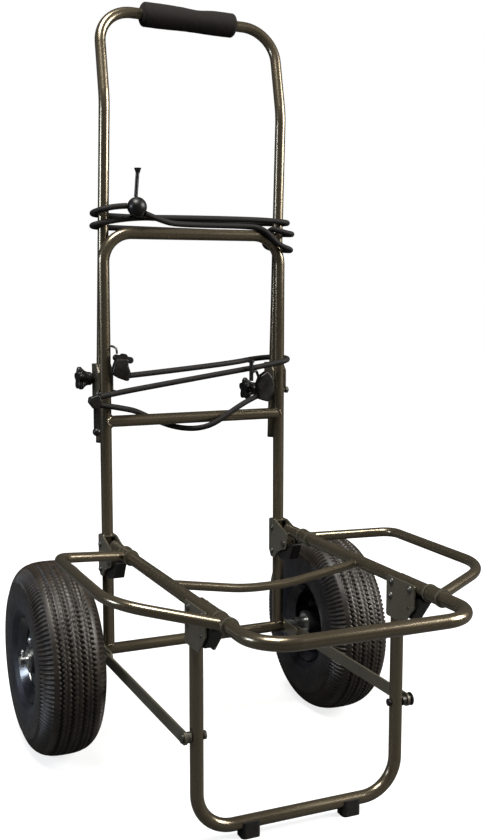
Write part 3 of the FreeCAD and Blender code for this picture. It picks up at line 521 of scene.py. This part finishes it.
SOFT_EDGED = ("rear_brackets", "front_brackets", "clamp_bracket_left", "clamp_bracket_right",
              "rear_lever_left", "rear_lever_right", "front_lever_left", "front_lever_right",
              "brace_left", "brace_right", "rail_rings", "foot_pads", "frame_bolts",
              "front_bracket_pins", "hub_left", "hub_right", "axle_spacers", "axle_retainers",
              "brace_spacers", "brace_lugs")
for node in SOFT_EDGED:
    bevel = frame["nodes"][node].modifiers.new("edge", "BEVEL")
    bevel.width = 0.0004
    bevel.segments = 2
    bevel.limit_method = "ANGLE"
    bevel.angle_limit = math.radians(40)
    bevel.harden_normals = False

# ---- new pieces -----------------------------------------------------------
for side, name in SIDES:
    add(tyre(side, name), "tyre", "wheel_" + name, "tyre_" + name)
    knob, screw = star_knob(name)
    add(knob, "black_plastic", "clamp_knob_" + name, "clamp_knob_" + name)
    add(screw, "dark_steel", "clamp_knob_" + name)
add(round_knob(), "black_plastic", "leg_knob", "leg_knob")
add(grip(), "foam", "handle", "foam_grip")

for side, name in SIDES:
    inward = -side
    add(weld_ring("weld_cross_bar_" + name, (side * GAUGE, SHIFT, 0.455), (inward, 0, 0),
                  (0, 0, 1), TUBE_R, TUBE_R, 0.0018), "frame_paint", "lower_frame")
    add(weld_ring("weld_axle_tube_" + name, (side * GAUGE, SHIFT, AXLE_Z), (0, 0, 1),
                  (0, 1, 0), TUBE_R, TUBE_R, 0.0018), "frame_paint", "lower_frame")
    add(weld_ring("weld_bow_" + name, (side * GAUGE, SHIFT - 0.240, 0.2853), (inward, 0, 0),
                  (0, 1, 0), TUBE_R, 0.0057, 0.0013), "frame_paint", "platform")


# ---- cords ----------------------------------------------------------------
def cord_curve(name, points, diameter):
    """Quadratic spline through the route, as a round cord."""
    data = bpy.data.curves.new(name, "CURVE")
    data.dimensions = "3D"
    data.bevel_depth = diameter / 2
    data.bevel_resolution = 6
    data.use_fill_caps = True
    data.resolution_u = 10
    spline = data.splines.new("NURBS")
    spline.points.add(len(points) - 1)
    flat = [c for x, y, z in points for c in (x / 1000, y / 1000 + SHIFT, z / 1000, 1.0)]
    spline.points.foreach_set("co", flat)
    spline.order_u = 3
    spline.use_endpoint_u = True
    obj = bpy.data.objects.new(name, data)
    bpy.context.scene.collection.objects.link(obj)
    return obj


def route_length(points, samples=40):
    """Length of the quadratic spline with these control points, in metres."""
    pts = np.array(points, float) / 1000
    n = len(pts)
    total = []
    for i in range(n - 2):
        t = np.linspace(i, i + 1, samples, endpoint=False)
        a = pts[i] if i == 0 else (pts[i] + pts[i + 1]) / 2
        c = pts[i + 2] if i == n - 3 else (pts[i + 1] + pts[i + 2]) / 2
        w = (t - i)[:, None]
        total.append((1 - w) ** 2 * a + 2 * w * (1 - w) * pts[i + 1] + w ** 2 * c)
    line = np.concatenate(total + [pts[-1:]])
    return float(np.linalg.norm(np.diff(line, axis=0), axis=1).sum())


TOP_ROUTE = ((-75, -9, 738.5), (-48, -6, 728.5), (-20, 3, 725.2), (80, 4, 725.5),
             (103, -11, 722), (124, -13.5, 699), (149, -14, 691), (151, 30.5, 693),
             (118, 31, 698), (118, 1, 724.5), (131, -14.5, 717), (150, -14.5, 714),
             (152, 30.5, 716), (104, 30, 716.5), (-94, 30, 720), (-141, 30, 721),
             (-142, 4, 723.5), (-100, 4, 732), (-56, 4, 734.4), (100, 4, 735.2),
             (152, 4, 732), (152, 30, 731), (102, 30, 731.5), (-96, 30, 736),
             (-141, 30, 737.5), (-141, 2, 741), (-116, -5, 747.5), (-99.9, -8, 748))
LOWER_ROUTE = ((-101.4, -14, 518.8), (-60, -10, 521.5), (60, 4, 530.5), (108, 30, 534.5),
               (146, 31, 536), (146, -15, 534.5), (104, -16, 526.8), (60, -16, 521),
               (-70, -16, 503), (-112, -16, 497), (-144, -16, 491.5))
SLACK_ROUTE = ((-143.6, -15, 480), (-124, -15, 476.5), (-106, -10, 472.5), (-92, 2, 468.8),
               (-78, 12.5, 463.5), (-62, 14, 455.5), (-46, 14, 448), (-28, 11, 441.5),
               (-8, 2, 438.5), (8, -8, 440.5), (24, -14.5, 446.5), (42, -16, 458),
               (62, -16, 470), (78, -14, 477.5), (90.9, -13, 482.6))


def free_cord(name, route, node):
    obj = cord_curve(name, route, CORD_D)
    add(obj, "cord", "lower_frame", node)
    print(name, "length", round(route_length(route), 4))


free_cord("top_elastic", TOP_ROUTE, "top_cord")
free_cord("lower_elastic", LOWER_ROUTE, "lower_cord")
free_cord("slack_elastic", SLACK_ROUTE, "slack_cord")


# ---- studio ---------------------------------------------------------------
LAMPS = (("key", (2.3, -1.25, 1.65), (0.0, 0.05, 0.5), 150, 1.5, (1.0, 0.98, 0.93)),
         ("over", (-0.7, -0.5, 2.8), (0.0, 0.0, 0.3), 120, 1.1, (1.0, 0.99, 0.95)),
         ("left", (-2.3, 0.2, 1.0), (0.0, 0.1, 0.4), 26, 0.6, (0.72, 0.84, 1.0)))


def studio():
    """White sweep whose paper glows away from the cart, dim sky and three soft lamps."""
    scene = bpy.context.scene
    world = bpy.data.worlds.new("studio")
    world.use_nodes = True
    tree = world.node_tree
    back = tree.nodes["Background"]
    back.inputs["Color"].default_value = (1.0, 1.0, 1.0, 1.0)
    back.inputs["Strength"].default_value = 0.045
    seen = tree.nodes.new("ShaderNodeBackground")
    seen.inputs["Color"].default_value = (1.0, 1.0, 1.0, 1.0)
    seen.inputs["Strength"].default_value = 1.0
    path = tree.nodes.new("ShaderNodeLightPath")
    mix = tree.nodes.new("ShaderNodeMixShader")
    tree.links.new(path.outputs["Is Camera Ray"], mix.inputs[0])
    tree.links.new(back.outputs[0], mix.inputs[1])
    tree.links.new(seen.outputs[0], mix.inputs[2])
    tree.links.new(mix.outputs[0], tree.nodes["World Output"].inputs["Surface"])
    scene.world = world
    size = 60.0
    mesh = bpy.data.meshes.new("floor")
    mesh.from_pydata([(-size, -size, 0), (size, -size, 0), (size, size, 0), (-size, size, 0)],
                     [], [(0, 1, 2, 3)])
    floor = bpy.data.objects.new("floor", mesh)
    scene.collection.objects.link(floor)
    floor.data.materials.append(floor_paper())
    for name, place, aim, power, width, tint in LAMPS:
        data = bpy.data.lights.new(name, "AREA")
        data.energy = power
        data.size = width
        data.color = tint
        lamp = bpy.data.objects.new(name, data)
        scene.collection.objects.link(lamp)
        lamp.location = place
        lamp.rotation_euler = look(np.array(aim) - np.array(place))


def floor_paper():
    """White paper to look at, and a dim one for the light it throws back on the cart."""
    f = Finish("floor_paper")
    f.colour(f.noise(3.0, 2.0), (0.07, 0.07, 0.07), (0.10, 0.10, 0.10))
    f.put(Roughness=0.9, Specular_IOR_Level=0.05)
    white = f.tree.nodes.new("ShaderNodeBsdfPrincipled")
    white.inputs["Base Color"].default_value = (0.30, 0.30, 0.30, 1.0)
    white.inputs["Roughness"].default_value = 0.95
    white.inputs["Specular IOR Level"].default_value = 0.0
    white.inputs["Emission Color"].default_value = (1.0, 1.0, 1.0, 1.0)
    length = f.tree.nodes.new("ShaderNodeVectorMath")
    length.operation = "LENGTH"
    f.link(f.coords.outputs["Object"], length.inputs[0])
    glow = f.remap(length.outputs["Value"], 0.4, 1.6, 0.80, 1.0)
    f.link(glow, white.inputs["Emission Strength"])
    path = f.tree.nodes.new("ShaderNodeLightPath")
    mix = f.tree.nodes.new("ShaderNodeMixShader")
    f.link(path.outputs["Is Camera Ray"], mix.inputs[0])
    f.link(f.bsdf.outputs["BSDF"], mix.inputs[1])
    f.link(white.outputs["BSDF"], mix.inputs[2])
    f.link(mix.outputs[0], f.out.inputs["Surface"])
    return f.mat


def look(direction):
    """Turn that points a camera or lamp along direction with no roll."""
    x, y, z = direction / np.linalg.norm(direction)
    return (math.acos(-z), 0.0, math.atan2(-x, y))


def camera():
    data = bpy.data.cameras.new("main")
    data.sensor_width = 36.0
    data.lens = 47.56
    obj = bpy.data.objects.new("main", data)
    bpy.context.scene.collection.objects.link(obj)
    target = np.array((0.0733, SHIFT, 0.4473))
    azimuth, elevation = math.radians(-23.94), math.radians(6.88)
    away = np.array((math.sin(azimuth) * math.cos(elevation),
                     -math.cos(azimuth) * math.cos(elevation), math.sin(elevation)))
    place = target + 1.6121 * away
    obj.location = place
    obj.rotation_euler = look(target - place)
    bpy.context.scene.camera = obj


studio()
camera()
scene = bpy.context.scene
scene.view_settings.view_transform = "Standard"
